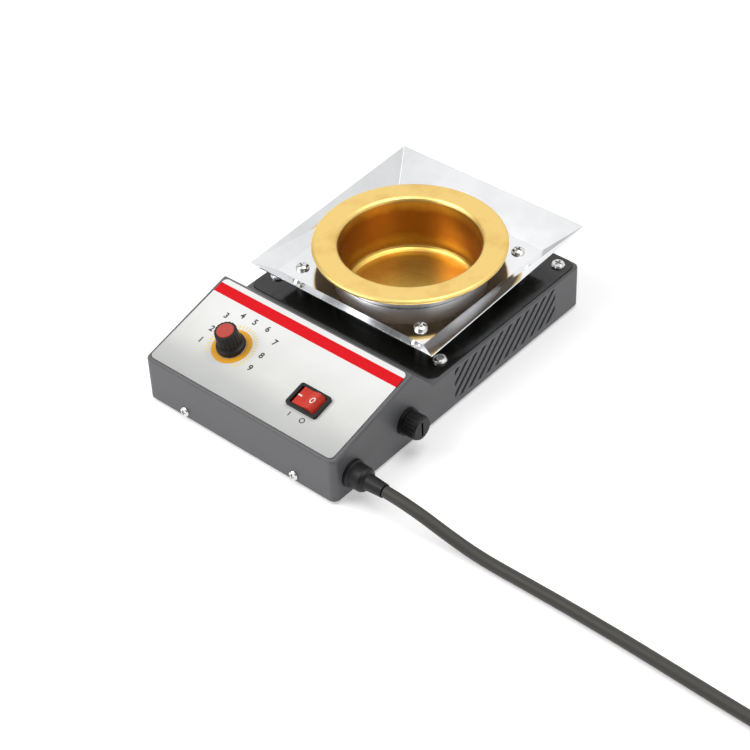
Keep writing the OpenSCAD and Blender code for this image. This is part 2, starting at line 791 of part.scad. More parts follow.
module earth_wire() wire("yellowgreen", [
    jacket_end + [0, 0, -2], jacket_end + [-4, 3, -3], [49, -84, 9], [47, -79, 7.2], [46, -76.3, 6.7]
]);

module heater_wires() color("white") at_body() for (s = [-1, 1]) {
    sweep(smooth([
        heater_entry + [s * 1.5, 5.2, 0], heater_entry + [s * 1.5, -1.4, 0], heater_entry + [s * 1.5, -4, 0],
        [s * 4 + 5, -20, 12.5], [s * 8 + 11, -27, 10], [s * 10 + 15, -32, 9.2], [s * 10 + 15, -38, 9.2]
    ], 3), wire_r, 8);
}

// ---- Mains cord ----

cord_r = cord_d / 2;

// Flange, round body and a tapered sleeve; the thread and the clamped jacket end are inside
module cable_gland() color([0.08, 0.08, 0.08]) at_body() on_side(gland_y, gland_z) difference() {
    union() {
        rotate_extrude() polygon([
            [0, 0], [8, 0], [8, 1.8], [7.2, 2.4], [7, 9], [6.2, 10.4], [4.6, 11.2],
            [cord_r + 0.5, gland_reach], [0, gland_reach]
        ]);
        translate([0, 0, -11]) cylinder(r = 6, h = 11.5);
    }
    translate([0, 0, -over - 11]) cylinder(r = cord_r, h = 40);
}

module gland_nut() color([0.12, 0.12, 0.12]) at_body() on_side(gland_y, gland_z) {
    translate([0, 0, -wall - 4]) hex_nut(15, 6, 4);
}

// Route of the cord, from inside the gland over the table to the coil
cord_route = [
    [56, -92, 14], [74, -92, 14], [91, -92, 14], [103, -92, 13.3], [116, -91.8, 11.3], [130, -91.4, 8],
    [145, -90.8, 4.9], [160, -90.4, 3.6], [178, -90, 3.4], [206, -89.8, 3.4], [238, -90.2, 3.4],
    [270, -91.2, 3.4], [302, -92.2, 3.4], [334, -92.8, 3.4], [366, -92.6, 3.4], [388, -92, 3.4],
    [402, -91.7, 3.4]
];

// The unseen length is wound in two layers of a flat spiral
coil_at = [402, -44];
coil_turn_in = 27.3;
coil_turn_out = 47.7;

module power_cord() color([0.2, 0.2, 0.19]) at_body() sweep(smooth(cord_route, 2), cord_r, 10);

module cord_coil() color([0.2, 0.2, 0.19]) at_body() translate(coil_at) rotate_extrude($fn = 60) {
    polygon([
        [coil_turn_in - cord_r, 2], [coil_turn_in - 1.4, 0], [coil_turn_out + 1.4, 0],
        [coil_turn_out + cord_r, 2], [coil_turn_out + cord_r, 6], [coil_turn_out - 4, 13.6],
        [coil_turn_in - 1.4, 13.6], [coil_turn_in - cord_r, 11.6]
    ]);
}

// From the coil's upper layer down to the plug beside it
tail_route = [
    [434, -70, 10.2], [439.6, -58, 10.2], [443, -44, 10.4], [444.8, -28, 11.6], [446, -10, 14.8],
    [446.8, 6, 17.6], [447, 18, 18.4], [447, 30, 18.5]
];

module cord_tail() color([0.2, 0.2, 0.19]) at_body() sweep(smooth(tail_route, 2), cord_r, 10);

// Earthed two-pin plug lying on its side, its pins pointing along +Y
plug_at = [447, 28, 18.5];

module plug_body() color([0.1, 0.1, 0.1]) at_body() translate(plug_at) rotate([-90, 0, 0]) difference() {
    rotate_extrude() polygon([
        [0, 0], [cord_r + 0.7, 0], [5, 20], [8.5, 22], [11, 34], [12, 40], [18.3, 44], [18.3, 60],
        [17.4, 61], [0, 61]
    ]);
    translate([0, 0, -over]) cylinder(r = cord_r, h = over + 14);
    for (s = [-1, 1]) {
        translate([s * 19.6 - 2.6, -4, 38]) cube([5.2, 8, 30]);
        translate([0, s * 9.5, 50]) cylinder(r = 2.4, h = 20);
    }
}

module plug_pins() color("silver") at_body() translate(plug_at) rotate([-90, 0, 0]) for (s = [-1, 1]) {
    translate([0, s * 9.5, 50]) rotate_extrude() polygon([
        [0, 0], [2.4, 0], [2.4, 28.6], [1.6, 30], [0, 30]
    ]);
}

housing();
base_plate();
base_screws();
foot_front_left();
foot_front_right();
foot_rear_left();
foot_rear_right();
foot_screws();
label_plate();
deck_plate();
deck_screws();
tray();
spacer_front_left();
spacer_front_right();
spacer_rear_left();
spacer_rear_right();
tray_screws();
tray_nuts();
shroud();
shroud_flange();
crucible();
crucible_stud();
crucible_nut();
heater_plate();
insulation_pad();
lead_bushing();
control_board();
board_spacers();
board_screws();
triac();
heat_sink();
capacitor();
choke();
potentiometer();
potentiometer_nut();
knob_shaft();
knob();
knob_cap();
switch_body();
switch_terminals();
switch_lamp();
rocker();
fuse_holder();
fuse_holder_nut();
fuse_contact();
fuse();
fuse_cap();
terminal_block();
earth_stud();
live_wire();
neutral_wire();
earth_wire();
heater_wires();
cable_gland();
gland_nut();
power_cord();
cord_coil();
cord_tail();
plug_body();
plug_pins();
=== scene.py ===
"""Looks of the solder pot: materials, printed panel, cord, studio and camera.

Lengths are in metres along the frame's axes, and mm turns millimetres into metres.
"""

import json
from math import cos, pi, radians, sin

import bpy
from mathutils import Matrix, Vector


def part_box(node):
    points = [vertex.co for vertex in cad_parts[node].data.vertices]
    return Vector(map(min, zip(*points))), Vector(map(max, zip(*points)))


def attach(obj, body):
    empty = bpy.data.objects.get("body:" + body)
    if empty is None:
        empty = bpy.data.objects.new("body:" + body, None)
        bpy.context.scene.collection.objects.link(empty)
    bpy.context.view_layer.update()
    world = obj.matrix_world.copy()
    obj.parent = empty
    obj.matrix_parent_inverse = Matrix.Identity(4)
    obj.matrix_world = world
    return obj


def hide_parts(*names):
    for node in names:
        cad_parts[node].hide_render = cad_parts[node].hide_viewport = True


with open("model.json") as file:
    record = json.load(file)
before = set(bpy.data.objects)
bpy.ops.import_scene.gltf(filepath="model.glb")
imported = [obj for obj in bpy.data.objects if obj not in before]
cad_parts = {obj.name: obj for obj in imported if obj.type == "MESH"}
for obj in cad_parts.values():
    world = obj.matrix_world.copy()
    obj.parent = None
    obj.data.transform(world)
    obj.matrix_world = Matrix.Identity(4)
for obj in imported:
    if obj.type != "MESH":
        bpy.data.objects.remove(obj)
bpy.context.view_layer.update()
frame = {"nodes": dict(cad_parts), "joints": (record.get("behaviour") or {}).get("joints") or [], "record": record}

mm = 0.001
NODES = frame["nodes"]
JOINTS = {joint["name"]: joint for joint in frame["joints"]}


# ---- Places, worked out from the frame ----

def middle(name):
    """The middle of a node's box."""
    low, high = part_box(name)
    return (Vector(low) + Vector(high)) / 2


body_centre = middle("housing")
body_centre.z = 0
pot_centre = middle("crucible")
pot_centre.z = 0
rim_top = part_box("crucible")[1][2]

# The console's own directions: right, up the slope, and out of it
RIGHT = Vector((1, 0, 0))
UP = Vector(JOINTS["rocker_tilt"]["axis"]).normalized()
OUT = Vector(JOINTS["knob_turn"]["axis"]).normalized()

# The knob stands at knob_place on the label, and its joint KNOB_LIFT millimetres above it
KNOB_LIFT = 4.6
knob_place = Vector((-30, 30.5)) * mm
knob_point = Vector(JOINTS["knob_turn"]["pos_m"]) - OUT * KNOB_LIFT * mm
console_origin = knob_point - RIGHT * knob_place.x - UP * knob_place.y

# Turns places on the label plate (across, up the slope, above it) into the frame's
CONSOLE = Matrix((RIGHT, UP, OUT)).transposed().to_4x4()
CONSOLE.translation = console_origin


# ---- Camera ----

def make_camera():
    """The photograph's view, from its fitted camera."""
    azimuth, elevation, roll = radians(42.57), radians(38.86), radians(-2.755)
    away = Vector((sin(azimuth) * cos(elevation), -cos(azimuth) * cos(elevation), sin(elevation)))
    side = Vector((0, 0, 1)).cross(away).normalized()
    top = away.cross(side)
    side_rolled = side * cos(roll) + top * sin(roll)
    top_rolled = top * cos(roll) - side * sin(roll)
    target = body_centre + Vector((0, 0, 27.4 * mm))
    distance = 1.0908
    data = bpy.data.cameras.new("camera")
    data.sensor_width = 36
    data.lens = 94.17
    data.shift_x = 0.0102
    data.shift_y = -0.0836
    data.clip_end = 20
    camera = bpy.data.objects.new("camera", data)
    bpy.context.scene.collection.objects.link(camera)
    pose = Matrix((side_rolled, top_rolled, away)).transposed().to_4x4()
    pose.translation = target + away * distance
    camera.matrix_world = pose
    bpy.context.scene.camera = camera


make_camera()


# ---- Node helpers ----

def new_material(name):
    material = bpy.data.materials.new(name)
    material.use_nodes = True
    tree = material.node_tree
    shader = tree.nodes["Principled BSDF"]
    return material, tree, shader


def node(tree, kind, **settings):
    made = tree.nodes.new(kind)
    for key, value in settings.items():
        setattr(made, key, value)
    return made


def link(tree, source, target):
    tree.links.new(source, target)


def coordinates(tree, stretch, turn):
    where = node(tree, "ShaderNodeTexCoord")
    mapping = node(tree, "ShaderNodeMapping")
    mapping.inputs["Rotation"].default_value = turn
    mapping.inputs["Scale"].default_value = stretch
    link(tree, where.outputs["Object"], mapping.inputs["Vector"])
    return mapping.outputs["Vector"]


def noise(tree, scale, detail=4.0, rough=0.55, stretch=(1, 1, 1), turn=(0, 0, 0)):
    made = node(tree, "ShaderNodeTexNoise")
    made.inputs["Scale"].default_value = scale
    made.inputs["Detail"].default_value = detail
    made.inputs["Roughness"].default_value = rough
    link(tree, coordinates(tree, stretch, turn), made.inputs["Vector"])
    return made.outputs["Fac"]


def ramp(tree, value, stops):
    made = node(tree, "ShaderNodeValToRGB")
    elements = made.color_ramp.elements
    while len(elements) < len(stops):
        elements.new(0.5)
    for element, (place, colour) in zip(elements, stops):
        element.position = place
        element.color = (*colour, 1)
    link(tree, value, made.inputs["Fac"])
    return made.outputs["Color"]


def remap(tree, value, low, high, to_low, to_high):
    """The value's range low to high, stretched to the range to_low to to_high and clamped."""
    made = node(tree, "ShaderNodeMapRange")
    for name, number in (("From Min", low), ("From Max", high), ("To Min", to_low), ("To Max", to_high)):
        made.inputs[name].default_value = number
    link(tree, value, made.inputs["Value"])
    return made.outputs["Result"]


def maths(tree, operation, a, b):
    made = node(tree, "ShaderNodeMath", operation=operation)
    for socket, value in zip(made.inputs, (a, b)):
        if isinstance(value, (int, float)):
            socket.default_value = value
        else:
            link(tree, value, socket)
    return made.outputs[0]


# Sockets of the colour mix node, which has one set for each kind of value
MIX_A, MIX_B, MIX_RESULT = 6, 7, 2


def mix(tree, factor, first, second):
    made = node(tree, "ShaderNodeMix", data_type="RGBA")
    link(tree, factor, made.inputs["Factor"])
    for socket, value in ((made.inputs[MIX_A], first), (made.inputs[MIX_B], second)):
        if isinstance(value, tuple):
            socket.default_value = (*value, 1)
        else:
            link(tree, value, socket)
    return made.outputs[MIX_RESULT]


def round_edges(tree, radius_mm):
    """A normal that rounds sharp edges in the shading."""
    made = node(tree, "ShaderNodeBevel")
    made.samples = 4
    made.inputs["Radius"].default_value = radius_mm * mm
    return made.outputs["Normal"]


def bump(tree, height, depth_mm, strength, normal=None):
    made = node(tree, "ShaderNodeBump")
    made.inputs["Strength"].default_value = strength
    made.inputs["Distance"].default_value = depth_mm * mm
    link(tree, height, made.inputs["Height"])
    if normal is not None:
        link(tree, normal, made.inputs["Normal"])
    return made.outputs["Normal"]


def tone(colour, factor):
    """A darker or lighter version of a colour."""
    return tuple(min(1.0, max(0.0, channel * factor)) for channel in colour)


def surface(name, colour, rough=0.45, metallic=0.0, vary=0.12, patch=45, grain=1400, grain_mm=0.02,
            edge_mm=0.25, specular=0.5, stretch=(1, 1, 1)):
    """A material with blotches of tone, a fine grain in colour, gloss and relief, and soft edges."""
    material, tree, shader = new_material(name)
    blotch = noise(tree, patch, 5.0, 0.6)
    fine = noise(tree, grain, 3.0, 0.6, stretch)
    both = maths(tree, "ADD", maths(tree, "MULTIPLY", blotch, 0.6), maths(tree, "MULTIPLY", fine, 0.4))
    colours = ramp(tree, both, [(0.3, tone(colour, 1 - vary)), (0.7, tone(colour, 1 + vary))])
    link(tree, colours, shader.inputs["Base Color"])
    low, high = max(0.02, rough * (1 - 1.2 * vary)), min(1.0, rough * (1 + 1.2 * vary))
    link(tree, remap(tree, both, 0.3, 0.7, low, high), shader.inputs["Roughness"])
    link(tree, bump(tree, fine, grain_mm, 0.6, round_edges(tree, edge_mm)), shader.inputs["Normal"])
    shader.inputs["Metallic"].default_value = metallic
    shader.inputs["Specular IOR Level"].default_value = specular
    return material


# ---- Materials ----

# Up the console's slope, in millimetres: the length over which the label's painted shade fades out, and its red
# band
PAINTED_SHADE_LENGTH = 60.0
RED_BAND = (55.2, 61.9)

# The crucible and its can, in millimetres; the bore radius and the rim underside bound the painted shade on the
# crucible's outside
BOWL_DEPTH = 36
RIM_UNDERSIDE = 2.6
OUTSIDE_BORE_R = 41.1
CAN_R = 44.15


def console_height(tree):
    """Distance up the console's slope, in millimetres."""
    where = node(tree, "ShaderNodeTexCoord")
    offset = node(tree, "ShaderNodeVectorMath", operation="SUBTRACT")
    link(tree, where.outputs["Object"], offset.inputs[0])
    offset.inputs[1].default_value = console_origin
    along = node(tree, "ShaderNodeVectorMath", operation="DOT_PRODUCT")
    link(tree, offset.outputs[0], along.inputs[0])
    along.inputs[1].default_value = UP
    return maths(tree, "DIVIDE", along.outputs["Value"], mm)


def between(tree, value, low, high):
    """One where the value lies between low and high, and zero elsewhere."""
    above = maths(tree, "GREATER_THAN", value, low)
    below = maths(tree, "LESS_THAN", value, high)
    return maths(tree, "MULTIPLY", above, below)


def label_material():
    """White printed film with painted shade that greys it low down towards its front edge, and one red band near
    its top.
    """
    material, tree, shader = new_material("label_film")
    height = console_height(tree)
    speckle = noise(tree, 900, 3.0)
    cloud = noise(tree, 26, 4.0)
    white = ramp(tree, cloud, [(0.3, (0.80, 0.80, 0.785)), (0.7, (0.88, 0.88, 0.865))])
    # Painted shade: the film is darkened towards the label's front edge, low on the slope, standing in for the
    # shading there
    painted_shade_by_height = ramp(tree, remap(tree, height, 0.0, PAINTED_SHADE_LENGTH, 0.0, 1.0), [
        (0.04, (0.62, 0.63, 0.63)), (0.2, (0.70, 0.71, 0.70)), (0.42, (0.9, 0.9, 0.89)), (0.8, (1, 1, 1))
    ])
    with_painted_shade = node(tree, "ShaderNodeMix", data_type="RGBA", blend_type="MULTIPLY")
    with_painted_shade.inputs["Factor"].default_value = 1.0
    link(tree, white, with_painted_shade.inputs[MIX_A])
    link(tree, painted_shade_by_height, with_painted_shade.inputs[MIX_B])
    red = ramp(tree, speckle, [(0.3, (0.70, 0.004, 0.010)), (0.7, (0.78, 0.008, 0.016))])
    band = between(tree, height, *RED_BAND)
    link(tree, mix(tree, band, with_painted_shade.outputs[MIX_RESULT], red), shader.inputs["Base Color"])
    link(tree, remap(tree, cloud, 0.3, 0.7, 0.3, 0.42), shader.inputs["Roughness"])
    link(tree, bump(tree, speckle, 0.006, 0.5, round_edges(tree, 0.2)), shader.inputs["Normal"])
    shader.inputs["Specular IOR Level"].default_value = 0.12
    return material


def from_pot_axis(tree):
    """Distance from the crucible's axis, and height above the table."""
    where = node(tree, "ShaderNodeTexCoord")
    offset = node(tree, "ShaderNodeVectorMath", operation="SUBTRACT")
    link(tree, where.outputs["Object"], offset.inputs[0])
    offset.inputs[1].default_value = pot_centre
    parts = node(tree, "ShaderNodeSeparateXYZ")
    link(tree, offset.outputs[0], parts.inputs[0])
    flat = node(tree, "ShaderNodeCombineXYZ")
    link(tree, parts.outputs["X"], flat.inputs["X"])
    link(tree, parts.outputs["Y"], flat.inputs["Y"])
    radius = node(tree, "ShaderNodeVectorMath", operation="LENGTH")
    link(tree, flat.outputs[0], radius.inputs[0])
    return radius.outputs["Value"], parts.outputs["Z"]


def gold_material():
    """Turned metal: fine rings about the axis, colour set by depth in the bowl, and a duller outside darkened with
    painted shade.
    """
    material, tree, shader = new_material("gold_depth_toned_with_painted_shade")
    radius, height = from_pot_axis(tree)
    ring_place = node(tree, "ShaderNodeCombineXYZ")
    link(tree, radius, ring_place.inputs["X"])
    link(tree, height, ring_place.inputs["Z"])
    rings = node(tree, "ShaderNodeTexNoise")
    rings.inputs["Scale"].default_value = 1500
    rings.inputs["Detail"].default_value = 4
    link(tree, ring_place.outputs[0], rings.inputs["Vector"])
    cloud = noise(tree, 55, 5.0)
    # Colour by depth in the bowl: gold on the floor, darker brown low on the walls, brighter towards the rim, with
    # random unevenness
    level = remap(tree, height, rim_top - BOWL_DEPTH * mm, rim_top - 2 * mm, 0.0, 1.0)
    uneven = maths(tree, "MULTIPLY", maths(tree, "SUBTRACT", cloud, 0.5), 0.25)
    bowl_depth_tone = maths(tree, "ADD", uneven, level)
    colours = ramp(tree, bowl_depth_tone, [
        (0.0, (0.74, 0.53, 0.13)), (0.13, (0.56, 0.31, 0.07)), (0.32, (0.40, 0.165, 0.04)),
        (0.78, (0.45, 0.19, 0.05)), (0.94, (0.78, 0.50, 0.15)), (1.0, (0.88, 0.63, 0.21))
    ])
    # Painted shade: the outside below the rim is coloured dark brown for the unlit underside, so the tray reflects
    # it dark; it is also made duller
    outside = maths(tree, "GREATER_THAN", radius, OUTSIDE_BORE_R * mm)
    below = maths(tree, "LESS_THAN", height, rim_top - RIM_UNDERSIDE * mm)
    painted_shade_outside = maths(tree, "MULTIPLY", outside, below)
    link(tree, mix(tree, painted_shade_outside, colours, (0.15, 0.10, 0.055)), shader.inputs["Base Color"])
    gloss = remap(tree, rings.outputs["Fac"], 0.3, 0.7, 0.27, 0.4)
    link(tree, maths(tree, "ADD", gloss, maths(tree, "MULTIPLY", painted_shade_outside, 0.2)), shader.inputs["Roughness"])
    link(tree, bump(tree, rings.outputs["Fac"], 0.006, 0.5), shader.inputs["Normal"])
    shader.inputs["Metallic"].default_value = 1.0
    return material


def mirror_material():
    """Polished sheet with faint rolling lines, hair scratches and dull patches; spun satin on the can."""
    material, tree, shader = new_material("mirror_sheet")
    radius, height = from_pot_axis(tree)
    on_can = maths(tree, "LESS_THAN", radius, CAN_R * mm)
    spin_place = node(tree, "ShaderNodeCombineXYZ")
    link(tree, height, spin_place.inputs["Z"])
    spun = node(tree, "ShaderNodeTexNoise")
    spun.inputs["Scale"].default_value = 900
    link(tree, spin_place.outputs[0], spun.inputs["Vector"])
    rolled = noise(tree, 90, 3.0, 0.6, (1, 14, 14))
    hair = noise(tree, 700, 2.0, 0.5, (0.05, 1, 1), (0, 0, 0.6))
    haze = noise(tree, 20, 5.0, 0.65)
    colours = ramp(tree, haze, [(0.3, (0.74, 0.75, 0.77)), (0.7, (0.87, 0.87, 0.88))])
    link(tree, colours, shader.inputs["Base Color"])
    gloss = maths(tree, "ADD", maths(tree, "MULTIPLY", haze, 0.12), maths(tree, "MULTIPLY", hair, 0.08))
    polish = remap(tree, gloss, 0.05, 0.15, 0.05, 0.16)
    satin = maths(tree, "MULTIPLY", on_can, remap(tree, spun.outputs["Fac"], 0.35, 0.65, 0.16, 0.34))
    link(tree, maths(tree, "ADD", polish, satin), shader.inputs["Roughness"])
    relief = maths(tree, "ADD", maths(tree, "MULTIPLY", rolled, 0.8), maths(tree, "MULTIPLY", hair, 0.2))
    link(tree, bump(tree, relief, 0.01, 0.5, round_edges(tree, 0.2)), shader.inputs["Normal"])
    shader.inputs["Metallic"].default_value = 1.0
    return material


def deck_material():
    """Gloss black plate with dust and fine wiping marks."""
    material, tree, shader = new_material("black_gloss")
    dust = noise(tree, 1700, 2.0, 0.7)
    wipe = noise(tree, 120, 4.0, 0.6, (0.15, 1, 1), (0, 0, 0.4))
    specks = remap(tree, dust, 0.66, 0.78, 0.0, 1.0)
    link(tree, mix(tree, specks, (0.011, 0.011, 0.0095), (0.07, 0.068, 0.06)), shader.inputs["Base Color"])
    link(tree, remap(tree, wipe, 0.3, 0.7, 0.07, 0.2), shader.inputs["Roughness"])
    link(tree, bump(tree, wipe, 0.006, 0.4, round_edges(tree, 0.3)), shader.inputs["Normal"])
    return material


def lit_red_material():
    """Translucent red plastic over a small lamp."""
    material, tree, shader = new_material("rocker_red")
    cloud = noise(tree, 160, 3.0)
    colours = ramp(tree, cloud, [(0.3, (0.46, 0.022, 0.012)), (0.7, (0.60, 0.04, 0.02))])
    link(tree, colours, shader.inputs["Base Color"])
    link(tree, remap(tree, cloud, 0.3, 0.7, 0.16, 0.26), shader.inputs["Roughness"])
    pits = noise(tree, 1800, 2.0)
    link(tree, bump(tree, pits, 0.006, 0.4, round_edges(tree, 0.5)), shader.inputs["Normal"])
    shader.inputs["Specular IOR Level"].default_value = 0.3
    shader.inputs["Subsurface Weight"].default_value = 0.25
    shader.inputs["Subsurface Radius"].default_value = (0.004, 0.0008, 0.0005)
    shader.inputs["Emission Color"].default_value = (1.0, 0.06, 0.02, 1)
    shader.inputs["Emission Strength"].default_value = 0.08
    return material


def glass_material(name, colour):
    """Clear glass with a faint film of dust."""
    material, tree, shader = new_material(name)
    film = noise(tree, 300, 3.0)
    link(tree, ramp(tree, film, [(0.3, tone(colour, 0.94)), (0.7, colour)]), shader.inputs["Base Color"])
    link(tree, remap(tree, film, 0.3, 0.7, 0.02, 0.08), shader.inputs["Roughness"])
    shader.inputs["Transmission Weight"].default_value = 0.9
    return material


MATERIALS = {
    "housing": surface(
        "grey_enamel", (0.106, 0.107, 0.112), 0.44, vary=0.1, grain=2300, grain_mm=0.03, edge_mm=0.5
    ),
    "zinc": surface("zinc_plate", (0.62, 0.62, 0.64), 0.34, 1.0, vary=0.12, patch=120, stretch=(0.1, 1, 1)),
    "screw": surface(
        "bright_plate", (0.74, 0.74, 0.73), 0.17, 1.0, vary=0.12, patch=220, grain=2600, grain_mm=0.008
    ),
    "foot_rubber": surface("foot_rubber", (0.018, 0.018, 0.018), 0.75, grain=2600, grain_mm=0.04),
    "label": label_material(),
    "deck": deck_material(),
    "mirror_steel": mirror_material(),
    "gold_steel": gold_material(),
    "heater_metal": surface(
        "heater_iron", (0.17, 0.14, 0.12), 0.7, 0.6, vary=0.25, grain=900, grain_mm=0.1
    ),
    "insulation": surface("fibre", (0.72, 0.69, 0.6), 0.95, vary=0.15, grain=700, grain_mm=0.15),
    "ceramic": surface("ceramic", (0.78, 0.74, 0.66), 0.5, vary=0.06, grain=1200),
    "board": surface("solder_mask", (0.02, 0.15, 0.05), 0.35, vary=0.2, patch=200, grain=500),
    "board_parts": surface("package_black", (0.02, 0.02, 0.02), 0.55, grain=2600),
    "capacitor": surface("capacitor_skin", (0.55, 0.3, 0.03), 0.3, vary=0.08),
    "choke": surface("copper_wire", (0.6, 0.25, 0.08), 0.3, 0.9, vary=0.15, stretch=(1, 1, 6)),
    "aluminium": surface("aluminium", (0.7, 0.7, 0.71), 0.32, 1.0, vary=0.08, stretch=(0.1, 1, 1)),
    "brass": surface("brass", (0.72, 0.52, 0.2), 0.28, 1.0, vary=0.12),
    "black_plastic": surface(
        "black_plastic", (0.008, 0.008, 0.008), 0.42, vary=0.18, grain=2200, grain_mm=0.025, specular=0.3
    ),
    "knob_cap": surface(
        "cap_red", (0.52, 0.075, 0.055), 0.34, vary=0.06, grain=2200, grain_mm=0.012, specular=0.25
    ),
    "rocker_red": lit_red_material(),
    "lamp": glass_material("lamp_glass", (0.95, 0.6, 0.45)),
    "fuse_glass": glass_material("fuse_glass", (0.9, 0.93, 0.93)),
    "wire_brown": surface("wire_brown", (0.12, 0.035, 0.012), 0.4, vary=0.08),
    "wire_blue": surface("wire_blue", (0.02, 0.1, 0.4), 0.4, vary=0.08),
    "wire_earth": surface("wire_green", (0.2, 0.42, 0.03), 0.4, vary=0.3, patch=160),
    "cord": surface(
        "cord_jacket", (0.032, 0.029, 0.023), 0.5, vary=0.16, patch=130, grain=1900, grain_mm=0.03
    ),
    "pin_nickel": surface("pin_nickel", (0.7, 0.69, 0.66), 0.18, 1.0, vary=0.08),
    "ink_black": surface("ink_black", (0.03, 0.03, 0.032), 0.4, vary=0.2, patch=400, edge_mm=0.05),
    "ink_white": surface("ink_white", (0.85, 0.84, 0.8), 0.4, vary=0.05, patch=400, edge_mm=0.05),
    "ink_orange": surface("ink_orange", (0.80, 0.38, 0.01), 0.4, vary=0.07, patch=300, edge_mm=0.05),
    "ink_yellow": surface("ink_yellow", (0.88, 0.70, 0.22), 0.4, vary=0.05, patch=300, edge_mm=0.05),
}


def finish_cad_nodes():
    """Give every CAD node the material of its slot."""
    for entry in frame["record"]["subparts"]:
        mesh_object = NODES[entry["node"]]
        mesh_object.data.materials.clear()
        mesh_object.data.materials.append(MATERIALS[entry["material_slot"]])


finish_cad_nodes()


# ---- Mains cord ----

CORD_R = 3.4 * mm

# The coil, in millimetres from the housing's middle: its place, its largest radius, and the
# distance from turn to turn, sideways and upwards
COIL_AT = Vector((402, -44, 0))
COIL_OUT = 47.7
COIL_PITCH = 6.9
TURN_STEPS = 24
LOWER_TURNS = 3


def smooth(points, steps):
    """Catmull-Rom curve through the points, with so many steps from each to the next."""
    points = [Vector(point) for point in points]
    last = len(points) - 1
    made = []
    for i in range(last):
        a, b, c, d = points[max(i - 1, 0)], points[i], points[i + 1], points[min(i + 2, last)]
        for k in range(steps):
            t = k / steps
            made.append(0.5 * (
                2 * b + (c - a) * t + (2 * a - 5 * b + 4 * c - d) * t * t + (3 * b - a - 3 * c + d) * t ** 3
            ))
    made.append(points[last])
    return made


def ease(t):
    """A smooth step from 0 to 1."""
    return t * t * (3 - 2 * t)


def coil_turns():
    """Three turns inwards on the table, a short climb, then two turns outwards on top of them."""
    climb_from = TURN_STEPS * LOWER_TURNS
    climb_steps = 4
    climb_to = climb_from + climb_steps
    last = 125
    points = []
    for i in range(1, last + 1):
        angle = radians(-90 + 360 / TURN_STEPS * i)
        turns = min(i / TURN_STEPS, LOWER_TURNS) - max(0, i - climb_to) / TURN_STEPS
        lift = min(1, max(0, i - climb_from) / climb_steps)
        radius = COIL_OUT - COIL_PITCH * turns
        height = CORD_R / mm + COIL_PITCH * ease(lift)
        points.append(COIL_AT + Vector((radius * cos(angle), radius * sin(angle), height)))
    return points


def make_cord():
    """The mains cord from its exit over the table, round the coil and up into the plug."""
    # In millimetres from the housing's middle, where the CAD cord lies
    route = [
        (91, -92, 14), (103, -92, 13.3), (116, -91.8, 11.3), (130, -91.4, 8), (145, -90.8, 4.9),
        (160, -90.4, 3.6), (178, -90, 3.4), (206, -89.8, 3.4), (238, -90.2, 3.4), (270, -91.2, 3.4),
        (302, -92.2, 3.4), (334, -92.8, 3.4), (366, -92.6, 3.4), (388, -92, 3.4), (402, -91.7, 3.4),
    ]
    tail = [
        (444.8, -28, 11.6), (446, -10, 14.8), (446.8, 6, 17.6), (447, 18, 18.4), (447, 30, 18.5),
    ]
    points = smooth(route + coil_turns() + tail, 3)
    curve = bpy.data.curves.new("mains_cord", "CURVE")
    curve.dimensions = "3D"
    curve.bevel_depth = CORD_R
    curve.bevel_resolution = 5
    curve.use_fill_caps = True
    spline = curve.splines.new("POLY")
    spline.points.add(len(points) - 1)
    places = [body_centre + point * mm for point in points]
    for spline_point, place in zip(spline.points, places):
        spline_point.co = (*place, 1)
    curve.materials.append(MATERIALS["cord"])
    cord = bpy.data.objects.new("mains_cord", curve)
    bpy.context.scene.collection.objects.link(cord)
    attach(cord, "base")
    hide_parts("power_cord", "cord_coil", "cord_tail")


make_cord()


# ---- Printed marks ----

# Height of printed ink above its surface, in millimetres: a first layer, and what is printed over it
FIRST_INK, TOP_INK = 0.02, 0.03


def mesh_piece(name, vertices, faces, material, body, transform=None):
    """A flat printed piece that rides on a body."""
    mesh = bpy.data.meshes.new(name)
    mesh.from_pydata([tuple(v) for v in vertices], [], faces)
    mesh.materials.append(MATERIALS[material])
    made = bpy.data.objects.new(name, mesh)
    if transform is not None:
        mesh.transform(transform)
    mesh.update()
    bpy.context.scene.collection.objects.link(made)
    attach(made, body)
    return made


def ribbon(points, width, closed=False, height=TOP_INK):
    """Vertices and faces of a flat stroke along points given in millimetres."""
    count = len(points)
    vertices, faces = [], []
    for i, point in enumerate(points):
        before = points[(i - 1) % count] if closed or i else point
        after = points[(i + 1) % count] if closed or i < count - 1 else point
        heading = Vector((after[0] - before[0], after[1] - before[1])).normalized()
        normal = Vector((-heading.y, heading.x)) * width / 2
        for side in (-1, 1):
            vertices.append(Vector((point[0] + side * normal.x, point[1] + side * normal.y, height)) * mm)
    for i in range(count if closed else count - 1):
        a, b = 2 * i, 2 * ((i + 1) % count)
        faces.append((a, b, b + 1, a + 1))
    return vertices, faces


def on_circle(x, y, radius, angle):
    return x + radius * cos(angle), y + radius * sin(angle)


def circle_points(x, y, radius, steps):
    return [on_circle(x, y, radius, radians(360 * i / steps)) for i in range(steps)]


def join_strokes(name, strokes, material):
    """Several strokes on the label plate as one printed piece."""
    vertices, faces = [], []
    for stroke_vertices, stroke_faces in strokes:
        first = len(vertices)
        vertices += stroke_vertices
        faces += [tuple(first + index for index in face) for face in stroke_faces]
    return mesh_piece(name, vertices, faces, material, "base", CONSOLE)


